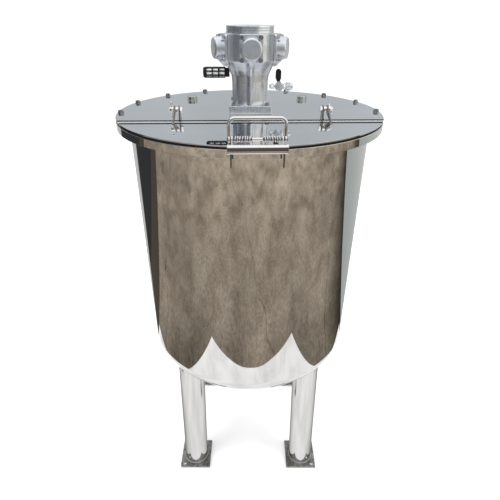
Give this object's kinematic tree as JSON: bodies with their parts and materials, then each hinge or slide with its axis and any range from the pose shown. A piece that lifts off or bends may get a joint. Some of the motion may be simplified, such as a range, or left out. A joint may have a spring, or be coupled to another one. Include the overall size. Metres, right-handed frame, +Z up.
{
  "type": "stainless steel mixing tank",
  "caption": "Upright round steel tank with a dished bottom on tube legs, a split lid that opens at the front, and a radial air motor that drives a stirrer.",
  "frame": {"origin": "on the floor, on the axis of the tank's shell", "axes": "+Z up along the shell's axis; the lifting front half of the lid and its handle face -Y; +X to the right as the front is faced"},
  "size_m": [0.66, 0.6744, 1.3333],
  "materials": {
    "mirror_steel": "mirror polished stainless steel",
    "satin_steel": "brushed stainless steel",
    "cast_aluminium": "satin cast aluminium",
    "nickel": "nickel plated brass",
    "black_rubber": "matte black rubber",
    "black_plastic": "black plastic"
  },
  "bodies": {
    "tank": {"base_plate_front_left": "satin_steel", "base_plate_front_right": "satin_steel", "base_plate_rear_left": "satin_steel", "base_plate_rear_right": "satin_steel", "bottom_dish": "mirror_steel", "crankcase": "cast_aluminium", "cylinder_head_1": "cast_aluminium", "cylinder_head_2": "cast_aluminium", "cylinder_head_3": "cast_aluminium", "cylinder_head_4": "cast_aluminium", "cylinder_head_5": "cast_aluminium", "hinge_bolt_left": "satin_steel", "hinge_bolt_right": "satin_steel", "hinge_ear_left": "satin_steel", "hinge_ear_right": "satin_steel", "hose_coupling": "nickel", "impeller": "satin_steel", "leg_front_left": "mirror_steel", "leg_front_right": "mirror_steel", "leg_rear_left": "mirror_steel", "leg_rear_right": "mirror_steel", "lid_gasket": "black_rubber", "lid_rear": "mirror_steel", "motor_cap": "cast_aluminium", "motor_column": "cast_aluminium", "motor_pad": "mirror_steel", "outlet_ferrule": "satin_steel", "port_left": "mirror_steel", "port_right": "mirror_steel", "rim_ring": "mirror_steel", "seam_bar": "mirror_steel", "shell_wall": "mirror_steel", "silencer": "black_plastic", "stirrer_shaft": "satin_steel", "valve_body": "nickel", "wing_nut_left": "satin_steel", "wing_nut_right": "satin_steel"},
    "front_lid": {"lid_front": "mirror_steel", "hinge_arm_left": "satin_steel", "hinge_arm_right": "satin_steel", "handle_bracket": "mirror_steel", "handle_pin": "satin_steel", "handle_spring_left": "satin_steel", "handle_spring_right": "satin_steel"},
    "handle": {"handle_bail": "mirror_steel"},
    "lever": {"valve_lever": "black_plastic"}
  },
  "joints": [
    {"name": "lid_hinge", "type": "hinge", "parent": "tank", "child": "front_lid", "pos_m": [0, -0.098, 1.1635], "axis": [-1, 0, 0], "range_deg": [0, 90]},
    {"name": "handle_fold", "type": "hinge", "parent": "front_lid", "child": "handle", "pos_m": [0, -0.322, 1.153], "axis": [-1, 0, 0], "range_deg": [0, 80], "stiffness_Nm_per_rad": 0.05, "springref_deg": -22.92},
    {"name": "valve_turn", "type": "hinge", "parent": "tank", "child": "lever", "pos_m": [0.0725, -0.021, 1.1995], "axis": [0, 1, 0], "range_deg": [0, 90]}
  ]
}
